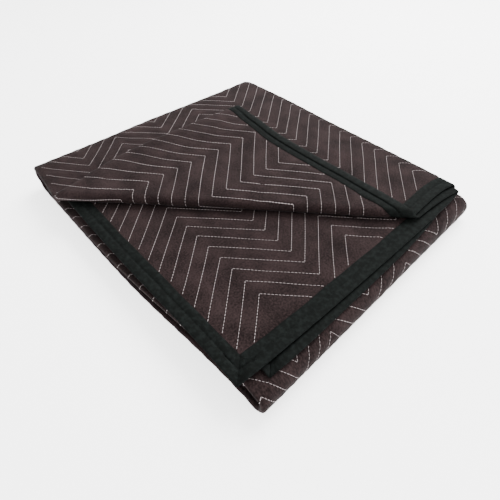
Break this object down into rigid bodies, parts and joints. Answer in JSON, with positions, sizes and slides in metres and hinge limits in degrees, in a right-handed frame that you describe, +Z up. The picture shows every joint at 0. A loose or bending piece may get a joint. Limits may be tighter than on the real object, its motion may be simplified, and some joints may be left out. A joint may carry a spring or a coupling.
{
  "type": "moving pad",
  "caption": "Quilted moving pad with bound edges, folded into a flat bundle, the top corner turned back. Wraps and cushions furniture in transport.",
  "frame": {"origin": "middle of the bundle's footprint, on the surface it rests on", "axes": "+Z up, +Y along the long side of the folded bundle, away from the side where the top layers' bound ends show, +X along its short side"},
  "size_m": [0.5406, 0.6262, 0.0786],
  "materials": {
    "cloth": "matt woven cotton and polyester, quilted",
    "binding": "matt woven polyester tape"
  },
  "bodies": {
    "root": {"quilted_cloth": "cloth", "binding_first_end": "binding", "binding_last_end": "binding", "binding_open_side": "binding", "binding_inner_side": "binding"}
  },
  "joints": []
}
